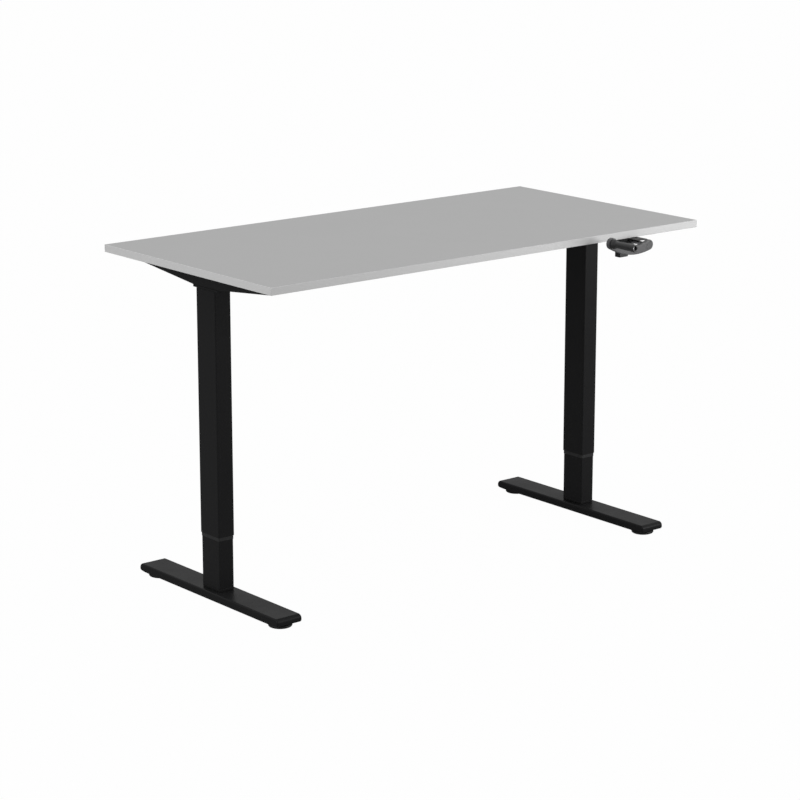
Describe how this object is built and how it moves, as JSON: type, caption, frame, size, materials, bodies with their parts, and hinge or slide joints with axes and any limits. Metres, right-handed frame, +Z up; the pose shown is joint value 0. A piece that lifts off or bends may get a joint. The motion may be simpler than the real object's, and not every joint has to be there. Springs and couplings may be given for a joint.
{
  "type": "height adjustable desk",
  "caption": "Hand-crank height adjustable desk: rectangular top on telescopic legs with long flat feet; a crank at the front drives a lead screw in each leg.",
  "frame": {"origin": "on the floor, under the middle of the whole object's box, crank grip included; the legs and the middle of the top stand 65 mm behind it", "axes": "+X along the length of the top, towards the crank's side (the user's right); +Y from the user to the far edge; +Z up"},
  "size_m": [1.4, 0.83, 0.866],
  "materials": {
    "board_laminate": "fine-grained grey melamine over wood board",
    "edge_band": "satin grey edge band",
    "black_powder_coat": "satin black powder coat with a fine orange peel",
    "black_plastic": "moulded black",
    "crank_plastic": "moulded dark grey, fine texture",
    "grip_plastic": "moulded black, slightly glossy",
    "pad_plastic": "moulded black, matt",
    "zinc_plated_steel": "bright zinc plate",
    "plain_steel": "ground steel",
    "cast_housing": "die cast, unpolished",
    "nut_polymer": "natural bearing polymer",
    "gear_steel": "sintered steel, oiled"
  },
  "bodies": {
    "base": {"left_foot": "black_powder_coat", "left_base_plate": "black_powder_coat", "left_inner_tube": "black_powder_coat", "left_screw_nut": "nut_polymer", "left_top_glide": "nut_polymer", "right_foot": "black_powder_coat", "right_base_plate": "black_powder_coat", "right_inner_tube": "black_powder_coat", "right_screw_nut": "nut_polymer", "right_top_glide": "nut_polymer", "left_front_base_bolt": "zinc_plated_steel", "left_rear_base_bolt": "zinc_plated_steel", "right_front_base_bolt": "zinc_plated_steel", "right_rear_base_bolt": "zinc_plated_steel"},
    "upper": {"tabletop": "board_laminate", "front_edge_band": "edge_band", "rear_edge_band": "edge_band", "left_edge_band": "edge_band", "right_edge_band": "edge_band", "left_side_arm": "black_powder_coat", "left_top_plate": "black_powder_coat", "left_outer_tube": "black_powder_coat", "left_glide_ring": "black_plastic", "left_thrust_bearing": "plain_steel", "left_gear_housing": "cast_housing", "right_side_arm": "black_powder_coat", "right_top_plate": "black_powder_coat", "right_outer_tube": "black_powder_coat", "right_glide_ring": "black_plastic", "right_thrust_bearing": "plain_steel", "right_gear_housing": "cast_housing", "front_rail_left": "black_powder_coat", "rear_rail_left": "black_powder_coat", "front_rail_right": "black_powder_coat", "rear_rail_right": "black_powder_coat", "crank_gear_housing": "cast_housing", "crank_housing_cover": "black_powder_coat", "crank_support_plate": "black_powder_coat", "crank_bearing_block": "black_plastic", "crank_bush": "black_plastic"},
    "crank": {"crank_arm": "crank_plastic", "crank_hub_cover": "black_plastic", "crank_shaft": "zinc_plated_steel", "crank_gear": "gear_steel", "grip_pin": "plain_steel"},
    "grip": {"grip": "grip_plastic"},
    "cross_drive": {"cross_shaft": "zinc_plated_steel", "left_shaft_gear": "gear_steel", "right_shaft_gear": "gear_steel", "cross_gear": "gear_steel"},
    "left_screw": {"left_lead_screw": "zinc_plated_steel", "left_screw_gear": "gear_steel"},
    "right_screw": {"right_lead_screw": "zinc_plated_steel", "right_screw_gear": "gear_steel"},
    "left_front_pad": {"left_front_levelling_foot": "pad_plastic"},
    "left_rear_pad": {"left_rear_levelling_foot": "pad_plastic"},
    "right_front_pad": {"right_front_levelling_foot": "pad_plastic"},
    "right_rear_pad": {"right_rear_levelling_foot": "pad_plastic"}
  },
  "joints": [
    {"name": "height", "type": "slide", "parent": "base", "child": "upper", "axis": [0, 0, 1], "range_m": [-0.12, 0.31]},
    {"name": "crank_turn", "type": "hinge", "parent": "upper", "child": "crank", "pos_m": [0.476, 0.065, 0.8335], "axis": [0, 1, 0], "range_deg": [-8640, 22320]},
    {"name": "grip_spin", "type": "hinge", "parent": "crank", "child": "grip", "pos_m": [0.34698, -0.335, 0.851], "axis": [0, 1, 0], "continuous": true},
    {"name": "cross_turn", "type": "hinge", "parent": "upper", "child": "cross_drive", "pos_m": [0, 0.065, 0.8335], "axis": [1, 0, 0], "range_deg": [-8640, 22320]},
    {"name": "left_screw_turn", "type": "hinge", "parent": "upper", "child": "left_screw", "pos_m": [-0.616, 0.065, 0.8335], "axis": [0, 0, 1], "range_deg": [-8640, 22320]},
    {"name": "right_screw_turn", "type": "hinge", "parent": "upper", "child": "right_screw", "pos_m": [0.616, 0.065, 0.8335], "axis": [0, 0, 1], "range_deg": [-22320, 8640]},
    {"name": "left_front_levelling", "type": "slide", "parent": "base", "child": "left_front_pad", "axis": [0, 0, -1], "range_m": [0, 0.01]},
    {"name": "left_rear_levelling", "type": "slide", "parent": "base", "child": "left_rear_pad", "axis": [0, 0, -1], "range_m": [0, 0.01]},
    {"name": "right_front_levelling", "type": "slide", "parent": "base", "child": "right_front_pad", "axis": [0, 0, -1], "range_m": [0, 0.01]},
    {"name": "right_rear_levelling", "type": "slide", "parent": "base", "child": "right_rear_pad", "axis": [0, 0, -1], "range_m": [0, 0.01]}
  ],
  "couplings": [
    {"joint": "crank_turn", "follows": "height", "rad_per_m": 1256.6},
    {"joint": "cross_turn", "follows": "height", "rad_per_m": 1256.6},
    {"joint": "left_screw_turn", "follows": "height", "rad_per_m": 1256.6},
    {"joint": "right_screw_turn", "follows": "height", "rad_per_m": -1256.6}
  ]
}
